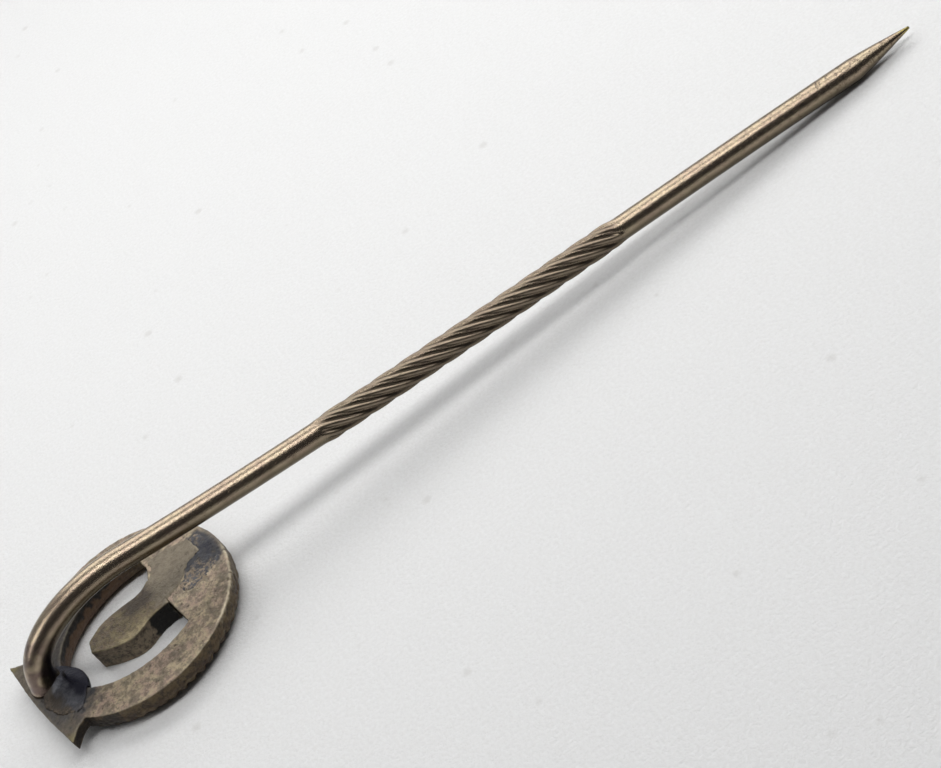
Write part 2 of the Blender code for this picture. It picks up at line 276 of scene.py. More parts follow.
def cloudGroup():
    # broad and fine blotches mixed into one mask
    look = patternLook
    group, given, result = newGroup(
        "patinaClouds",
        [("Place", "Vector", None), ("Size", "Float", 0.5), ("Grain", "Float", 0.12),
         ("Low", "Float", 0.4), ("High", "Float", 0.6)],
        [("Cloud", "Float"), ("Fine", "Float")])
    broad = addNode(group, "TexNoise", {"Vector": given["Place"], "Scale": perSize(group, given["Size"]),
                                        "Detail": 5.0, "Roughness": 0.62, "Distortion": 0.4})
    fine = addNode(group, "TexNoise", {"Vector": given["Place"], "Scale": perSize(group, given["Grain"]),
                                       "Detail": 3.0, "Roughness": 0.6})
    mixed = addNode(group, "Math", {0: broad.outputs[0], 1: look["broadShare"]},
                    operation="MULTIPLY").outputs[0]
    mixed = addNode(group, "Math", {0: fine.outputs[0], 1: look["fineShare"], 2: mixed},
                    operation="MULTIPLY_ADD").outputs[0]
    group.links.new(between(group, mixed, given["Low"], given["High"]), result["Cloud"])
    group.links.new(fine.outputs[0], result["Fine"])
    return group


def speckGroup():
    # scattered specks of uneven size, for pits, dark spots, bright points and dust
    look = patternLook
    group, given, result = newGroup(
        "specks",
        [("Place", "Vector", None), ("Spacing", "Float", 0.3), ("Cover", "Float", 0.3)],
        [("Spots", "Float")])
    bent = addNode(group, "TexNoise", {"Vector": given["Place"], "Scale": look["bendScale"], "Detail": 2.0})
    shift = addNode(group, "VectorMath", {0: bent.outputs["Color"], 1: (0.5, 0.5, 0.5)}, operation="SUBTRACT")
    shift = addNode(group, "VectorMath", {0: shift.outputs[0], "Scale": look["bendReach"]}, operation="SCALE")
    place = addNode(group, "VectorMath", {0: given["Place"], 1: shift.outputs[0]}, operation="ADD")
    scale = perSize(group, given["Spacing"])
    cells = addNode(group, "TexVoronoi", {"Vector": place.outputs[0], "Scale": scale})
    chance = addNode(group, "SeparateColor", {"Color": cells.outputs["Color"]}).outputs[0]
    size = addNode(group, "Math", {0: given["Cover"], 1: chance}, operation="SUBTRACT").outputs[0]
    size = addNode(group, "Math", {0: size, 1: look["speckGrowth"]}, operation="MULTIPLY").outputs[0]
    reach = addNode(group, "Math", {0: size, 1: cells.outputs["Distance"]}, operation="SUBTRACT").outputs[0]
    group.links.new(between(group, reach, *look["speckEdge"]), result["Spots"])
    return group


def wearGroup():
    # bare metal on outward edges, and dirt with painted shade in the inward corners, both broken up by noise
    group, given, result = newGroup(
        "edgeWear",
        [("Place", "Vector", None), ("Edge", "Float", 0.0), ("Hollow", "Float", 0.0),
         ("Size", "Float", 0.3), ("Amount", "Float", 0.5)],
        [("Worn", "Float"), ("DirtAndShade", "Float")])
    rough = addNode(group, "TexNoise", {"Vector": given["Place"], "Scale": perSize(group, given["Size"]),
                                        "Detail": 4.0, "Roughness": 0.65}).outputs[0]
    rough = between(group, rough, *patternLook["wearBreaks"])
    patchy = addNode(group, "Math", {0: rough, 1: given["Amount"], 2: given["Amount"]},
                     operation="MULTIPLY_ADD").outputs[0]
    group.links.new(maths(group, "MULTIPLY", given["Edge"], patchy), result["Worn"])
    group.links.new(maths(group, "MULTIPLY", given["Hollow"], patchy), result["DirtAndShade"])
    return group


clouds, specks, edgeWear = cloudGroup(), speckGroup(), wearGroup()


def newMaterial(name, metallic):
    material = bpy.data.materials.new(name)
    material.use_nodes = True
    tree = material.node_tree
    shader = tree.nodes["Principled BSDF"]
    shader.inputs["Metallic"].default_value = metallic
    return material, tree, shader


def paint(tree, share, mark, under, over):
    # over laid on under where mark is, at the given share
    return blendColour(tree, maths(tree, "MULTIPLY", mark, share), under, over)


def roughFrom(tree, value, span):
    low, high = span
    return addNode(tree, "MapRange", {"Value": value, "To Min": low, "To Max": high}).outputs[0]


def addRelief(tree, shader, height, depth):
    bump = addNode(tree, "Bump", {"Height": height, "Distance": depth})
    tree.links.new(bump.outputs["Normal"], shader.inputs["Normal"])


hoopFinish = {
    "tan": (0.39, 0.32, 0.21, 1), "pinkish": (0.35, 0.255, 0.195, 1), "grey": (0.10, 0.083, 0.060, 1),
    "brown": (0.050, 0.034, 0.022, 1), "wall": (0.12, 0.086, 0.044, 1), "black": (0.010, 0.008, 0.007, 1),
    "bright": (0.75, 0.66, 0.48, 1), "film": (0.040, 0.040, 0.045, 1), "red": (0.10, 0.058, 0.032, 1),
    "foot": (0.055, 0.046, 0.034, 1), "corner": (0.17, 0.14, 0.05, 1),
    "metallic": 0.55, "roughness": (0.36, 0.62), "relief": 0.03 * mm,
    "stainShare": 0.6, "blotchShare": 0.7, "footShare": 0.85, "pitShare": 0.7, "dotShare": 0.3,
    "dirtAndShadeShare": 0.9,
}


def hoopMetal():
    finish = hoopFinish
    material, tree, shader = newMaterial("wornPlateOverBrass", finish["metallic"])
    place = objectPlace(tree)
    broad = fillGroup(tree, clouds, {"Place": place, "Size": 1.1, "Grain": 0.2, "Low": 0.42, "High": 0.58})
    small = fillGroup(tree, clouds, {"Place": place, "Size": 0.42, "Grain": 0.1, "Low": 0.43, "High": 0.6})
    stain = fillGroup(tree, clouds, {"Place": place, "Size": 0.75, "Grain": 0.3, "Low": 0.46, "High": 0.6})
    pits = fillGroup(tree, specks, {"Place": place, "Spacing": 0.24, "Cover": 0.36})["Spots"]
    dots = fillGroup(tree, specks, {"Place": place, "Spacing": 0.11, "Cover": 0.5})["Spots"]
    worn = fillGroup(tree, edgeWear, {"Place": place, "Edge": mask(tree, "edge"),
                                      "Hollow": mask(tree, "hollow"), "Size": 0.35, "Amount": 0.6})
    colour = blendColour(tree, broad["Cloud"], finish["tan"], finish["pinkish"])
    colour = paint(tree, finish["stainShare"], stain["Cloud"], colour, finish["grey"])
    colour = paint(tree, finish["blotchShare"], small["Cloud"], colour, finish["grey"])
    colour = paint(tree, finish["footShare"], mask(tree, "foot"), colour, finish["foot"])
    colour = blendColour(tree, mask(tree, "corner"), colour, finish["corner"])
    colour = paint(tree, finish["pitShare"], pits, colour, finish["brown"])
    colour = paint(tree, finish["dotShare"], dots, colour, finish["brown"])
    side = blendColour(tree, small["Cloud"], finish["wall"], finish["brown"])
    side = blendColour(tree, mask(tree, "reddish"), side, finish["red"])
    side = paint(tree, finish["pitShare"], pits, side, finish["brown"])
    colour = blendColour(tree, mask(tree, "side"), colour, side)
    colour = blendColour(tree, mask(tree, "film"), colour, finish["film"])
    # dirt and painted shade in the inward corners
    colour = paint(tree, finish["dirtAndShadeShare"], worn["DirtAndShade"], colour, finish["black"])
    # painted shade: the black mask darkens the far flank under the wire and the hole's squared end
    colour = blendColour(tree, mask(tree, "black"), colour, finish["black"])
    bare = maths(tree, "MULTIPLY", worn["Worn"], mask(tree, "rubbed"))
    colour = blendColour(tree, bare, colour, finish["bright"])
    tree.links.new(colour, shader.inputs["Base Color"])
    tree.links.new(roughFrom(tree, broad["Fine"], finish["roughness"]), shader.inputs["Roughness"])
    addRelief(tree, shader, maths(tree, "SUBTRACT", small["Fine"], pits), finish["relief"])
    return material


tongueFinish = {
    "tan": (0.13, 0.095, 0.062, 1), "olive": (0.17, 0.135, 0.068, 1), "pale": (0.18, 0.15, 0.106, 1),
    "yellow": (0.30, 0.245, 0.13, 1), "brown": (0.035, 0.024, 0.016, 1), "wall": (0.25, 0.20, 0.14, 1),
    "black": (0.009, 0.008, 0.007, 1), "bright": (0.60, 0.52, 0.34, 1),
    "metallic": 0.5, "roughness": (0.36, 0.62), "relief": 0.03 * mm,
    "yellowShare": 0.7, "stainShare": 0.6, "paleClean": 0.2, "wallStain": 0.8,
}


def tongueMetal():
    finish = tongueFinish
    material, tree, shader = newMaterial("scrapedPaleBrass", finish["metallic"])
    place = objectPlace(tree)
    broad = fillGroup(tree, clouds, {"Place": place, "Size": 0.6, "Grain": 0.15, "Low": 0.42, "High": 0.58})
    small = fillGroup(tree, clouds, {"Place": place, "Size": 0.32, "Grain": 0.09, "Low": 0.43, "High": 0.62})
    pits = fillGroup(tree, specks, {"Place": place, "Spacing": 0.22, "Cover": 0.4})["Spots"]
    worn = fillGroup(tree, edgeWear, {"Place": place, "Edge": mask(tree, "edge"),
                                      "Hollow": mask(tree, "hollow"), "Size": 0.3, "Amount": 0.6})
    colour = blendColour(tree, broad["Cloud"], finish["tan"], finish["olive"])
    colour = blendColour(tree, mask(tree, "pale"), colour, finish["pale"])
    # painted highlight along the near edge
    colour = paint(tree, finish["yellowShare"], mask(tree, "yellow"), colour, finish["yellow"])
    cleaner = maths(tree, "MULTIPLY", mask(tree, "pale"), finish["paleClean"])
    cleaner = maths(tree, "SUBTRACT", finish["stainShare"], cleaner)
    colour = paint(tree, cleaner, small["Cloud"], colour, finish["brown"])
    colour = paint(tree, cleaner, pits, colour, finish["brown"])
    colour = blendColour(tree, mask(tree, "dark"), colour, finish["brown"])
    # the side walls are painted lighter than the top, standing in for light from the front, with brown stains
    side = paint(tree, finish["wallStain"], small["Cloud"], finish["wall"], finish["brown"])
    colour = blendColour(tree, mask(tree, "side"), colour, side)
    # painted shade on the near wall, partly dark patina
    colour = blendColour(tree, mask(tree, "black"), colour, finish["black"])
    # bare bright metal on worn edges, with painted glint on the near faces' edges
    bare = maths(tree, "MULTIPLY", worn["Worn"], mask(tree, "rubbed"))
    colour = blendColour(tree, bare, colour, finish["bright"])
    tree.links.new(colour, shader.inputs["Base Color"])
    tree.links.new(roughFrom(tree, broad["Fine"], finish["roughness"]), shader.inputs["Roughness"])
    addRelief(tree, shader, maths(tree, "SUBTRACT", small["Fine"], pits), finish["relief"])
    return material


solderFinish = {
    "grey": (0.095, 0.097, 0.106, 1), "navy": (0.012, 0.012, 0.020, 1), "brown": (0.05, 0.040, 0.030, 1),
    "tan": (0.26, 0.20, 0.135, 1), "speck": (0.7, 0.7, 0.68, 1),
    "metallic": 0.45, "shine": 0.2, "roughness": (0.3, 0.55), "relief": 0.03 * mm, "navyShare": 0.6,
}


def solderMetal():
    finish = solderFinish
    material, tree, shader = newMaterial("darkSolder", finish["metallic"])
    shader.inputs["Specular IOR Level"].default_value = finish["shine"]
    place = objectPlace(tree)
    broad = fillGroup(tree, clouds, {"Place": place, "Size": 0.45, "Grain": 0.1, "Low": 0.38, "High": 0.62})
    flecks = fillGroup(tree, clouds, {"Place": place, "Size": 0.2, "Grain": 0.07, "Low": 0.47, "High": 0.53})
    sparks = fillGroup(tree, specks, {"Place": place, "Spacing": 0.16, "Cover": 0.16})["Spots"]
    colour = paint(tree, finish["navyShare"], broad["Cloud"], finish["grey"], finish["navy"])
    colour = blendColour(tree, mask(tree, "brownish"), colour, finish["brown"])
    colour = paint(tree, mask(tree, "flecked"), flecks["Cloud"], colour, finish["tan"])
    colour = blendColour(tree, mask(tree, "black"), colour, finish["navy"])
    colour = paint(tree, mask(tree, "sparks"), sparks, colour, finish["speck"])
    tree.links.new(colour, shader.inputs["Base Color"])
    tree.links.new(roughFrom(tree, broad["Fine"], finish["roughness"]), shader.inputs["Roughness"])
    addRelief(tree, shader, broad["Fine"], finish["relief"])
    return material


wireFinish = {
    "nickel": (0.39, 0.32, 0.225, 1), "rosy": (0.345, 0.265, 0.20, 1), "olive": (0.095, 0.08, 0.05, 1),
    "brown": (0.07, 0.048, 0.035, 1), "black": (0.020, 0.015, 0.011, 1), "brass": (0.36, 0.30, 0.09, 1),
    "purple": (0.10, 0.066, 0.07, 1), "matte": (0.20, 0.162, 0.122, 1),
    "metallic": 1.0, "roughness": (0.17, 0.32), "relief": 0.011 * mm, "dullShare": 0.6, "dullRough": 0.1,
}


def wireMetal():
    finish = wireFinish
    material, tree, shader = newMaterial("agedNickelWire", finish["metallic"])
    place = objectPlace(tree)
    broad = fillGroup(tree, clouds, {"Place": objectPlace(tree, (0.6, 1, 1)), "Size": 0.8, "Grain": 0.15,
                                     "Low": 0.38, "High": 0.64})
    small = fillGroup(tree, clouds, {"Place": place, "Size": 0.25, "Grain": 0.06, "Low": 0.48, "High": 0.66})
    dots = fillGroup(tree, specks, {"Place": place, "Spacing": 0.14, "Cover": 0.24})["Spots"]
    colour = blendColour(tree, broad["Cloud"], finish["nickel"], finish["rosy"])
    # painted shade: olive on the wire's lower half and sides
    colour = blendColour(tree, mask(tree, "olive"), colour, finish["olive"])
    colour = blendColour(tree, mask(tree, "purple"), colour, finish["purple"])
    # a dull darker grip, with its lips left bright as a painted highlight
    colour = paint(tree, finish["dullShare"], mask(tree, "dull"), colour, finish["matte"])
    colour = paint(tree, mask(tree, "patina"), small["Cloud"], colour, finish["brown"])
    colour = paint(tree, mask(tree, "patina"), dots, colour, finish["brown"])
    # painted shade in the grip's grooves and scratches
    colour = blendColour(tree, mask(tree, "groove"), colour, finish["black"])
    colour = blendColour(tree, mask(tree, "brass"), colour, finish["brass"])
    tree.links.new(colour, shader.inputs["Base Color"])
    rough = roughFrom(tree, small["Fine"], finish["roughness"])
    rough = addNode(tree, "Math", {0: mask(tree, "dull"), 1: finish["dullRough"], 2: rough},
                    operation="MULTIPLY_ADD").outputs[0]
    tree.links.new(rough, shader.inputs["Roughness"])
    addRelief(tree, shader, maths(tree, "SUBTRACT", small["Fine"], dots), finish["relief"])
    return material


hoopLook = {
    "grain": 0.055 * mm,
    "pitDepth": 0.035 * mm, "pitFrom": 0.3, "pitGain": 1.8,
    "wavy": 0.016 * mm,
    "lumps": 0.07 * mm, "lumpCap": 0.2,             # uneven pressing of the front edge's lobes
    "rimWear": (radians(-68), radians(-2)),         # the stretch of the rim that is rubbed bright
    "poolReach": (1.35, 1.85), "poolFade": (0.8, 1.5),
    "patchReach": (1.6, 1.55), "patchFade": (0.8, 1.1), "patchShift": 0.15,
    "flankReach": (4.4, 3.4), "flankFade": (1.1, 1.22),    # the far flank, where the wire's shade is painted on
    "innerWall": 0.6,                               # faces this far inside the rim belong to the hole
    "footFade": (4.3, 4.9), "cornerFade": (5.2, 5.8), "cornerSide": (2.9, 3.5),
}


def makeHoop():
    look = hoopLook
    mesh = fineCopy(("hoop", "tongue", "tongue_solder"), look["grain"], keepRootOnly=("tongue",))
    rim = hoopRadius / mm

    def move(place, normal):
        x, y, z = inHead(place)
        rough = wander(place, 0.30 * mm, 3) + 0.6 * wander(place, 0.13 * mm, 5)
        pit = max(wander(place, 0.2 * mm, 9) - look["pitFrom"], 0) * look["pitGain"]
        lobes = ease(hypot(x, y), rim - 0.5, rim - 0.2) * (1 - ease(z, 0.55, 0.8))
        lump = min(lobes * wander(place, 0.28 * mm, 14), look["lumpCap"])
        onFloor = ease(-normal.z, 0.5, 0.9)
        return normal * (look["wavy"] * rough - look["pitDepth"] * pit + look["lumps"] * lump) * (1 - onFloor)

    shapeSkin(mesh, move)
    bendMasks(mesh, look["grain"])
    side, film, black, rubbed, reddish, foot, corner = [], [], [], [], [], [], []
    (poolX, poolY), (patchX, patchY) = head["pool"], head["patch"]
    (poolReachX, poolReachY), (patchReachX, patchReachY) = look["poolReach"], look["patchReach"]
    flankX, flankY = look["flankReach"]
    start, end = look["rimWear"]
    for vert in mesh.vertices:
        x, y, z = inHead(vert.co)
        angle, out = atan2(y, x), hypot(x, y)
        back = ease(vert.normal.z, 0.4, 0.8)
        broken = wander(vert.co, 0.4 * mm, 1) + 0.5 * wander(vert.co, 0.15 * mm, 11)
        side.append(1 - back)
        toPool = hypot((x - poolX) / poolReachX, (y - poolY) / poolReachY)
        toPatch = hypot((x - patchX) / patchReachX, (y - patchY - look["patchShift"]) / patchReachY)
        smear = max(1 - ease(toPool + 0.3 * broken, *look["poolFade"]),
                    1 - ease(toPatch + 0.15 * broken, *look["patchFade"]))
        film.append(back * smear * (1 - 0.35 * ease(out, rim - 0.3, rim - 0.1)))
        inner = out < rim - look["innerWall"] and back < 0.5
        # painted shade in the black mask: the inner walls at the hole's squared end (partly dark patina),
        # broken patches on the near side walls at the foot end, and the far flank's back and inner wall where
        # the wire's shade falls
        shade = 0.0
        if inner and x > head["bridgeX"] - 0.5 and y < 1.5:
            shade = 1.0
        if back < 0.5 and x < -3.4 and y < -1.8:
            shade = 0.8 * ease(broken, -0.9, -0.1)
        farSide = ease(y, 0.8, 1.6) * (1 - ease(x, 0.5, 2.0))
        if back > 0.2:
            flank = hypot((x - 0.3) / flankX, y / flankY)
            shade = max(shade, farSide * (1 - ease(flank + 0.05 * broken, *look["flankFade"])) * 0.95)
        elif inner:
            shade = max(shade, farSide * ease(z + 0.25 * broken, 0.75, 1.0))
        black.append(shade)
        reddish.append(farSide if inner else 0.25 * ease(-broken, 0.0, 0.5))
        edge = ease(out, rim - 0.35, rim - 0.1) * ease(z, 0.9, 1.15)
        window = ease(angle, start, start + 0.25) * (1 - ease(angle, end - 0.3, end))
        rubbed.append(edge * window * (0.65 + 0.5 * broken) + 0.1)
        foot.append(ease(-x + 0.3 * broken, *look["footFade"]) * back)
        corner.append(0.7 * ease(-x, *look["cornerFade"]) * ease(abs(y) + 0.3 * broken, *look["cornerSide"]))
    addMasks(mesh, side=side, film=film, black=black, rubbed=rubbed, reddish=reddish, foot=foot,
             corner=corner)
    return newObject("hoopSkin", mesh, hoopMetal())


tongueLook = {
    "grain": 0.045 * mm,
    "wavy": 0.014 * mm,
    "rootFrom": (1.45, 1.9),                        # where the tongue becomes its root
    "fill": 0.03 * mm,                              # the root's sides are pushed out over the fitting gap
    "ragged": 0.13 * mm,
    "proud": 0.026 * mm, "crown": 0.012 * mm,       # the root's height above the hoop's back, and its waves
    "paleFrom": (0.9, 1.7),
    "bodyFrom": (-2.6, -2.0), "yellowTo": (0.3, 0.8), "rubbedTo": (0.2, 0.8),    # along the near edge, for the painted highlight and glint
    "darkFrom": (-0.6, 0.3), "darkTo": (1.3, 1.8), "darkSide": (-0.5, 0.2), "darkShare": 0.85,
}


def makeTongue():
    look = tongueLook
    mesh = fineCopy(("tongue",), look["grain"])

    def move(place, normal):
        x, y, z = inHead(place)
        uneven = wander(place, 0.28 * mm, 4) + 0.6 * wander(place, 0.12 * mm, 6)
        rough = look["wavy"] * uneven * (1 - ease(-normal.z, 0.5, 0.9))
        root = ease(x, *look["rootFrom"])
        flat = ease(1 - abs(normal.z), 0.08, 0.4)
        broken = wander(place, 0.34 * mm, 8) + 0.7 * wander(place, 0.14 * mm, 2)
        spread = root * flat * (look["fill"] + look["ragged"] * broken)
        height = look["proud"] + look["crown"] * wander(place, 0.5 * mm, 21)
        crown = root * ease(normal.z, 0.3, 0.8) * height
        return normal * rough + level(normal) * spread + Vector((0, 0, crown))

    shapeSkin(mesh, move)
    bendMasks(mesh, look["grain"])
    side, black, pale, rubbed, yellow, dark = [], [], [], [], [], []
    for vert in mesh.vertices:
        x, y, z = inHead(vert.co)
        back = ease(vert.normal.z, 0.35, 0.8)
        side.append(1 - back)
        broken = wander(vert.co, 0.3 * mm, 2) + 0.5 * wander(vert.co, 0.12 * mm, 4)
        near = ease(-vert.normal.y, 0.1, 0.5)
        # painted shade, partly dark patina: the near wall goes black from the tongue's middle on, and faces
        # turned to the foot darken a little
        wall = max(near * ease(x + 0.3 * broken, 0.25, 0.45), ease(-vert.normal.x, 0.5, 0.9) * 0.35)
        black.append((1 - back) * wall)
        pale.append(ease(x + 0.35 * broken, *look["paleFrom"]))
        # painted highlight: a yellow band along the near edge of the body, and bright worn edges on the faces
        # turned to the near side
        nearEdge = 1 - ease(y - (-0.95 + 0.32 * max(-1.2 - x, 0) + 0.12 * broken), 0.0, 0.35)
        yellow.append(nearEdge * ease(x, *look["bodyFrom"]) * (1 - ease(x, *look["yellowTo"])))
        rubbed.append(0.1 + 0.5 * near * ease(x, *look["bodyFrom"]) * (1 - ease(x, *look["rubbedTo"])))
        middle = ease(x, *look["darkFrom"]) * (1 - ease(x, *look["darkTo"])) * ease(y, *look["darkSide"])
        dark.append(look["darkShare"] * middle * ease(broken, -0.9, 0.0))
    addMasks(mesh, side=side, black=black, pale=pale, rubbed=rubbed, yellow=yellow, dark=dark)
    return newObject("tongueSkin", mesh, tongueMetal())


tongueSolderLook = {
    "grain": 0.045 * mm,
    "above": 0.008 * mm, "lumps": 0.02 * mm,        # its height over the hoop's back, and its waves
    "spread": 0.05 * mm, "ragged": 0.12 * mm,       # how far it runs out over its pocket
    "middle": (0.3, 0.1), "reach": 1.2,             # its dark middle, from the patch's own
    "sparks": 0.8, "brownShare": 0.6, "darkShare": 0.6,
    "flecksFrom": (0.6, 1.15), "darkTo": (0.3, 0.7),
}


def makeTongueSolder(material):
    look = tongueSolderLook
    mesh = fineCopy(("tongue_solder",), look["grain"])

    def move(place, normal):
        lumps = wander(place, 0.3 * mm, 7) + 0.7 * wander(place, 0.12 * mm, 3)
        above = ease(normal.z, 0.2, 0.8) * (look["above"] + look["lumps"] * lumps)
        ragged = look["spread"] + look["ragged"] * wander(place, 0.25 * mm, 5)
        spread = ease(1 - abs(normal.z), 0.08, 0.4) * ragged
        return level(normal) * spread + Vector((0, 0, above))

    shapeSkin(mesh, move)
    sparks, brownish, flecked, black = [], [], [], []
    patchX, patchY = head["patch"]
    middleX, middleY = look["middle"]
    for vert in mesh.vertices:
        x, y, z = inHead(vert.co)
        broken = wander(vert.co, 0.35 * mm, 12) + 0.5 * wander(vert.co, 0.13 * mm, 6)
        away = hypot((x - patchX - middleX) / look["reach"], (y - patchY - middleY) / look["reach"])
        sparks.append(look["sparks"])
        brownish.append(look["brownShare"] * ease(broken, 0.0, 0.5))
        flecked.append(0.05 + 0.75 * ease(away + 0.3 * broken, *look["flecksFrom"]))
        black.append(look["darkShare"] * (1 - ease(away + 0.2 * broken, *look["darkTo"])))
    addMasks(mesh, sparks=sparks, brownish=brownish, flecked=flecked, black=black)
    return newObject("tongueSolderSkin", mesh, material)


stemSolderLook = {
    "grain": 0.05 * mm, "smoothing": 26,
    "lower": 0.65,                                  # share of its height that is taken off the pool
    "wavy": 0.02, "spread": 0.16 * mm, "ragged": 0.1 * mm,
    "sink": 0.08 * mm, "skirt": (0.02, 0.12),       # its rim goes down into the foot
    "wetReach": (0.7, 1.15), "climb": 0.03, "pinch": 0.1,    # it creeps up the wire
    "bulgeFrom": -0.4, "bulgeFull": 0.05,           # from the hole's end
    "rimReach": (1.15, 1.75), "rimFade": (0.7, 1.1), "brownFrom": (4.6, 5.1),
    "sparks": 0.9, "brownShare": 0.9, "fleckShare": 0.35,
}


def makeStemSolder(material):
    look = stemSolderLook
    mesh = fineCopy(("stem_solder",), look["grain"], passes=look["smoothing"])
    top = backHeight / mm
    skirtLow, skirtHigh = look["skirt"]
    wetNear, wetFar = look["wetReach"]

    def move(place, normal):
        x, y, z = inHead(place)
        lumps = wander(place, 0.45 * mm, 2) + 0.5 * wander(place, 0.16 * mm, 8)
        onFoot = 1 - ease(x, head["footEndX"] - 0.25, head["footEndX"] - 0.05)
        over = ease(z, top - 0.02, top + 0.03) * onFoot
        lower = -look["lower"] * max(z - top - 0.02, 0) * mm
        spread = over * (look["spread"] + look["ragged"] * lumps) * (1 - abs(normal.z))
        skirt = 1 - ease(z, top + skirtLow, top + skirtHigh)
        sink = -look["sink"] * skirt * onFoot
        away = Vector((place.x / mm - wire["baseX"], place.y / mm - wire["y"], 0))
        wetting = ease(-away.length, -wetFar, -wetNear) * over
        hug = Vector((0, 0, look["climb"])) * wetting - away.normalized() * look["pinch"] * wetting
        return (normal * look["wavy"] * mm * lumps + level(normal) * spread * (1 - wetting) + hug * mm
                + Vector((0, 0, lower * (1 - wetting) + sink)))

    shapeSkin(mesh, move)
    sparks, brownish, flecked, black = [], [], [], []
    poolX, poolY = head["pool"]
    rimX, rimY = look["rimReach"]
    for vert in mesh.vertices:
        x, y, z = inHead(vert.co)
        broken = wander(vert.co, 0.4 * mm, 5) + 0.4 * wander(vert.co, 0.14 * mm, 9)
        inHole = x - head["footEndX"] + 0.15 * broken
        bulge = ease(inHole, look["bulgeFrom"], look["bulgeFull"])
        bulge *= 1 - 0.7 * ease(-y, 1.5, 2.1)
        rim = ease(hypot((x - poolX) / rimX, (y - poolY) / rimY) + 0.25 * broken, *look["rimFade"])
        sparks.append(look["sparks"] * (1 - bulge))
        brown = max(ease(-x + 0.3 * broken, *look["brownFrom"]), rim * (1 - bulge))
        brownish.append(look["brownShare"] * brown)
        flecked.append(look["fleckShare"] * rim * (1 - bulge))
        black.append(bulge)
    addMasks(mesh, sparks=sparks, brownish=brownish, flecked=flecked, black=black)
    return newObject("stemSolderSkin", mesh, material)


# the wire follows the CAD wire's line, in mm
wire = {
    "radius": 0.6, "baseRadius": 0.7, "baseTaper": 9.0, "baseX": -4.99, "y": -0.12,
    "crookReach": 5.35, "crookRise": 3.25, "crookFall": 0.146, "seat": 0.03,
    "shoulderFall": 0.09, "length": 52.27,
    "pointLength": 3.5, "pointRadius": 0.07, "pointLift": 0.3, "pointSwell": 1.15,
    "gripStart": 17.2, "gripLength": 17.7, "gripRunOut": 0.9, "gripStarts": 7, "gripLead": 9.8,
    "gripRidge": 0.08,
    "lip": 0.16, "lipReach": 0.22,                  # the base spreads where it meets the foot
    "around": 140, "step": 0.24, "gripStep": 0.1, "gripMargin": 0.2, "crookSteps": 60, "pointSteps": 34,
}

# across one ridge of the grip, as shares of its pitch; grooveDark and scratchDark set the painted shade
ridge = {
    "lipAt": 0.11, "lipWidth": 0.05, "scratchAt": 0.2, "scratchWidth": 0.04,
    "bodyRise": (0.2, 0.38), "bodyFall": (0.58, 0.82), "grooveFall": (0.7, 0.88), "grooveRise": (0.0, 0.08),
    "lipHeight": 0.5, "scratchDepth": 0.3, "bodyHeight": 0.95, "grooveDepth": 1.1,
    "grooveDark": 0.75, "scratchDark": 0.5,
}

# marks along the wire, in mm from its base or its tip
wireMarks = {
    "patina": 0.3, "tipPatina": 0.5, "tipPatinaTo": (4, 14), "patinaWaves": 0.2,
    "brassTo": (0.2, 0.9), "brassShare": 0.8,
    "purpleTo": (1.5, 4.5), "purpleShare": 0.7,
    "oliveShare": 0.85,
}

shoulderX = wire["baseX"] + wire["length"] - wire["pointLength"]
crookBase = backHeight / mm + wire["seat"]


def crookPoint(angle):
    return wire["baseX"] + wire["crookReach"] * (1 + cos(angle)), crookBase + wire["crookRise"] * sin(angle)


crookEndAngle = atan2(wire["crookRise"], wire["crookFall"] * wire["crookReach"])


def stemHeight(x):
    startX, startZ = crookPoint(crookEndAngle)
    span = shoulderX - startX
    u = (x - startX) / span
    return ((2 * u ** 3 - 3 * u ** 2 + 1) * startZ - (u ** 3 - 2 * u ** 2 + u) * wire["crookFall"] * span
            + (3 * u ** 2 - 2 * u ** 3) * wire["radius"] - (u ** 3 - u ** 2) * wire["shoulderFall"] * span)


def wireLine():
    # (x, z, radius, run) along the wire, closely spaced
    steps = wire["crookSteps"]
    points = [crookPoint(pi + (crookEndAngle - pi) * i / steps) for i in range(steps)]
    x = crookPoint(crookEndAngle)[0]
    gripFrom = wire["baseX"] + wire["gripStart"]
    gripTo = gripFrom + wire["gripLength"]
    margin = wire["gripMargin"]
    while x < shoulderX:
        points.append((x, stemHeight(x)))
        x += wire["gripStep"] if gripFrom - margin < x < gripTo + margin else wire["step"]
    run = 0.0
    before = points[0]
    line = []
    for x, z in points:
        run += hypot(x - before[0], z - before[1])
        before = (x, z)
        thicker = (wire["baseRadius"] - wire["radius"]) * max(1 - run / wire["baseTaper"], 0)
        lip = wire["lip"] * exp(-run / wire["lipReach"])
        line.append((x, z, wire["radius"] + thicker + lip, run))
    tipZ = wire["radius"] + wire["pointLift"] - wire["shoulderFall"] * wire["pointLength"]
    for i in range(wire["pointSteps"] + 1):
        share = i / wire["pointSteps"]
        along = wire["pointLength"] * share
        radius = wire["radius"] + (wire["pointRadius"] - wire["radius"]) * share ** wire["pointSwell"]
        z = wire["radius"] + (tipZ - wire["radius"]) * share
        line.append((shoulderX + along, z, radius, run + along))
    return line


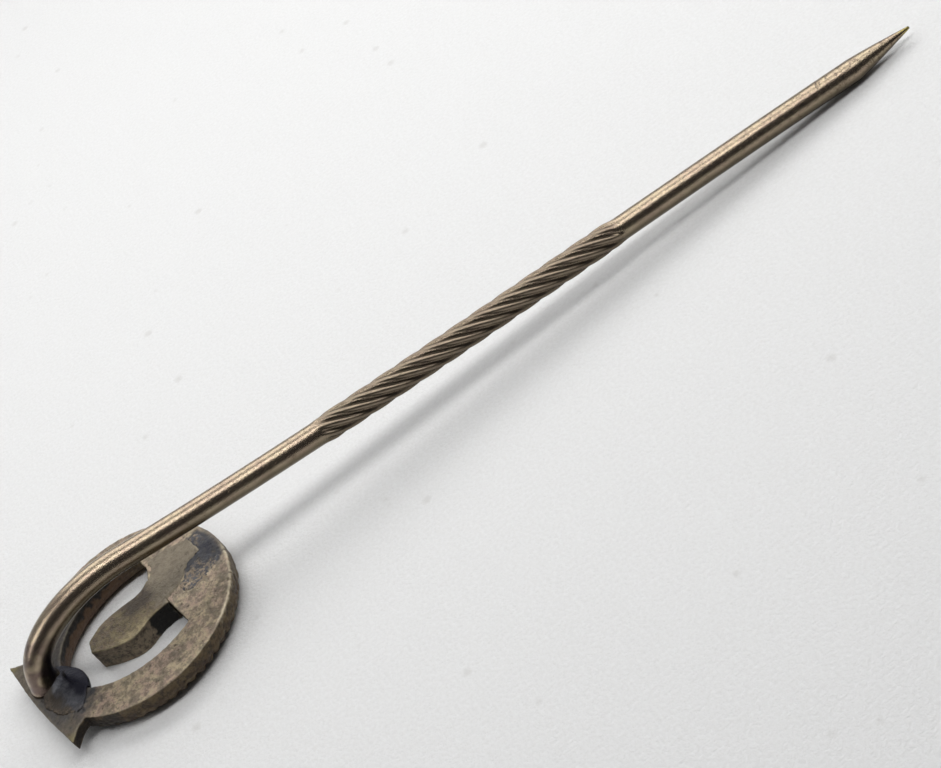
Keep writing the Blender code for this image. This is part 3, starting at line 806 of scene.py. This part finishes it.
def gripProfile(x, angle):
    # the ridges' height over the plain wire, in mm, then the painted shade in its grooves and scratches, and
    # how dull this place is, the lips being left out of the dull colour as a painted highlight
    start = wire["baseX"] + wire["gripStart"]
    inside = min(x - start, start + wire["gripLength"] - x) / wire["gripRunOut"]
    share = ease(inside, 0, 1)
    if share == 0:
        return 0.0, 0.0, 0.0
    twist = wire["gripStarts"] * (x - wire["baseX"]) / wire["gripLead"]
    turn = (wire["gripStarts"] * angle / (2 * pi) + twist + 0.5) % 1.0
    # from the near side of a ridge to the far one: a thin lip, a scratch, a rounded body, a wide groove
    lip = exp(-((turn - ridge["lipAt"]) / ridge["lipWidth"]) ** 2)
    scratch = exp(-((turn - ridge["scratchAt"]) / ridge["scratchWidth"]) ** 2)
    body = ease(turn, *ridge["bodyRise"]) * (1 - ease(turn, *ridge["bodyFall"]))
    groove = max(ease(turn, *ridge["grooveFall"]), 1 - ease(turn, *ridge["grooveRise"]))
    height = (ridge["lipHeight"] * lip - ridge["scratchDepth"] * scratch + ridge["bodyHeight"] * body
              - ridge["grooveDepth"] * groove)
    shade = clamp(ridge["grooveDark"] * groove + ridge["scratchDark"] * scratch)
    return share * wire["gripRidge"] * height, share * shade, share * (1 - lip)


def makeWire():
    line = wireLine()
    bm = bmesh.new()
    bmesh.ops.create_circle(bm, segments=wire["around"], radius=1)
    loop = bm.edges[:]
    for _ in line[1:]:
        made = bmesh.ops.extrude_edge_only(bm, edges=loop)["geom"]
        verts = [item for item in made if isinstance(item, bmesh.types.BMVert)]
        fresh = set(verts)
        edges = [item for item in made if isinstance(item, bmesh.types.BMEdge)]
        loop = [edge for edge in edges if fresh.issuperset(edge.verts)]
        bmesh.ops.translate(bm, verts=verts, vec=(0, 0, 1))
    ends = [edge for edge in bm.edges if edge.is_boundary]
    bmesh.ops.holes_fill(bm, edges=ends, sides=0)
    slopes = []
    for i in range(len(line)):
        before, after = line[max(i - 1, 0)], line[min(i + 1, len(line) - 1)]
        slopes.append(atan2(after[1] - before[1], after[0] - before[0]))
    slopes[0] = pi / 2
    grooves, dulls, runs, angles = [], [], [], []
    for vert in bm.verts:
        station = int(round(vert.co.z))
        angle = atan2(vert.co.y, vert.co.x)
        x, z, radius, run = line[station]
        raised, groove, dull = gripProfile(x, angle)
        reach = radius + raised
        across, up = reach * sin(angle), reach * cos(angle)
        slope = slopes[station]
        vert.co = Vector((x - sin(slope) * up, wire["y"] + across, z + cos(slope) * up)) * mm
        grooves.append(groove)
        dulls.append(dull)
        runs.append(run)
        angles.append(angle)
    bmesh.ops.recalc_face_normals(bm, faces=bm.faces)
    mesh = bpy.data.meshes.new("wire")
    bm.to_mesh(mesh)
    bm.free()
    mesh.shade_smooth()
    addMasks(mesh, groove=grooves, dull=dulls)
    marks = wireMarks
    total = max(runs)
    patina, brass, purple, olive = [], [], [], []
    for vert, run, angle in zip(mesh.vertices, runs, angles):
        fromTip = total - run
        broken = wander(vert.co, 0.5 * mm, 6)
        nearTip = 1 - ease(fromTip, *marks["tipPatinaTo"])
        patina.append(clamp(marks["patina"] + marks["tipPatina"] * nearTip + marks["patinaWaves"] * broken))
        brass.append((1 - ease(fromTip + 0.3 * broken, *marks["brassTo"])) * marks["brassShare"])
        purple.append(marks["purpleShare"] * (1 - ease(run, *marks["purpleTo"])) * ease(broken, -0.3, 0.3))
        # painted shade: the wire's lower half and sides are darker olive
        olive.append(ease(-cos(angle) + 0.1 * broken, -0.4, 0.3) * marks["oliveShare"])
    addMasks(mesh, patina=patina, brass=brass, purple=purple, olive=olive)
    return newObject("wireSkin", mesh, wireMetal())


def addPiece(piece, node):
    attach(piece, "root")
    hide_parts(node)


addPiece(makeHoop(), "hoop")
print("hoop made")
addPiece(makeTongue(), "tongue")
solder = solderMetal()
addPiece(makeTongueSolder(solder), "tongue_solder")
addPiece(makeStemSolder(solder), "stem_solder")
print("tongue and solder made")
addPiece(makeWire(), "pin_stem")
print("wire made")


floorLook = {
    "size": 900 * mm,
    "drop": 0.002 * mm,                             # clear of the front, so that the two don't flicker
    "white": (0.80, 0.80, 0.795, 1), "speck": (0.50, 0.48, 0.45, 1), "roughness": 0.55,
    "dustSpacing": 1.6, "dustCover": 0.2, "dustShare": 0.3,
    "grainScale": 5.5, "grainFrom": (0.3, 0.7), "grainShare": 0.2, "relief": 0.05 * mm,
}


def makeFloor():
    look = floorLook
    bm = bmesh.new()
    bmesh.ops.create_grid(bm, x_segments=1, y_segments=1, size=look["size"] / 2)
    bmesh.ops.translate(bm, verts=bm.verts, vec=(lowCorner.x, 0, -look["drop"]))
    mesh = bpy.data.meshes.new("floor")
    bm.to_mesh(mesh)
    bm.free()
    material, tree, shader = newMaterial("paleSheet", 0.0)
    shader.inputs["Roughness"].default_value = look["roughness"]
    place = objectPlace(tree)
    dust = fillGroup(tree, specks, {"Place": place, "Spacing": look["dustSpacing"],
                                    "Cover": look["dustCover"]})
    colour = paint(tree, look["dustShare"], dust["Spots"], look["white"], look["speck"])
    grain = addNode(tree, "TexNoise", {"Vector": place, "Scale": look["grainScale"], "Detail": 3.0,
                                       "Roughness": 0.7}).outputs[0]
    low, high = look["grainFrom"]
    dim = addNode(tree, "MapRange", {"Value": grain, "From Min": low, "From Max": high,
                                     "To Min": 0.0, "To Max": look["grainShare"]})
    colour = blendColour(tree, dim.outputs[0], colour, look["speck"])
    tree.links.new(colour, shader.inputs["Base Color"])
    addRelief(tree, shader, grain, look["relief"])
    floor = newObject("floor", mesh, material)


lights = {
    "overhead": {"place": (36, -13, 130), "size": (185, 44), "power": 0.113, "aim": (44, 75, 0)},
    "farWindow": {"place": (48, 76, 84), "size": (215, 66), "power": 0.102, "aim": (20, 0, 0)},
    "leftWindow": {"place": (-120, 8, 78), "size": (26, 84), "power": 0.034, "aim": (0, 0, 3)},
}
worldLook = {"near": (0.06, 0.06, 0.062, 1), "far": (0.42, 0.425, 0.435, 1), "turnsAt": (-0.5, 0.7)}


def makeLights():
    for name, light in lights.items():
        lamp = bpy.data.lights.new(name, "AREA")
        lamp.shape = "RECTANGLE"
        lamp.size, lamp.size_y = light["size"][0] * mm, light["size"][1] * mm
        lamp.energy = light["power"]
        item = bpy.data.objects.new(name, lamp)
        scene.collection.objects.link(item)
        place, aim = Vector(light["place"]) * mm, Vector(light["aim"]) * mm
        item.location = place
        item.rotation_euler = (aim - place).to_track_quat("-Z", "Y").to_euler()
    world = bpy.data.worlds.new("softRoom")
    scene.world = world
    world.use_nodes = True
    tree = world.node_tree
    direction = addNode(tree, "TexCoord").outputs["Generated"]
    parts = addNode(tree, "SeparateXYZ", {0: direction}).outputs
    share = between(tree, parts["Y"], *worldLook["turnsAt"])
    colour = blendColour(tree, share, worldLook["near"], worldLook["far"])
    tree.links.new(colour, tree.nodes["Background"].inputs["Color"])
    tree.nodes["Background"].inputs["Strength"].default_value = 1.0


viewpoint = {
    "lens": 76.51, "azimuth": -4.45, "elevation": 39.76, "roll": -35.03,
    "aside": (-0.884, -0.381), "distance": 96.499,    # aim, from the middle of the CAD box
}


def makeCamera():
    around, above, roll = (radians(viewpoint[name]) for name in ("azimuth", "elevation", "roll"))
    middle = (lowCorner + highCorner) / 2
    aim = Vector((middle.x + viewpoint["aside"][0] * mm, viewpoint["aside"][1] * mm, 0))
    back = Vector((sin(around) * cos(above), -cos(around) * cos(above), sin(above)))
    right = (-back).cross(Vector((0, 0, 1))).normalized()
    up = right.cross(-back)
    across = cos(roll) * right + sin(roll) * up
    upward = -sin(roll) * right + cos(roll) * up
    lens = bpy.data.cameras.new("camera")
    lens.lens = viewpoint["lens"]
    lens.sensor_width = 36
    lens.sensor_fit = "HORIZONTAL"
    lens.clip_start = 1 * mm
    lens.clip_end = 10
    item = bpy.data.objects.new("camera", lens)
    scene.collection.objects.link(item)
    turn = Matrix((across, upward, back)).transposed().to_4x4()
    item.matrix_world = Matrix.Translation(aim + back * viewpoint["distance"] * mm) @ turn
    scene.camera = item


makeFloor()
makeLights()
makeCamera()
scene.view_settings.view_transform = "Standard"
print("floor, light and camera ready")
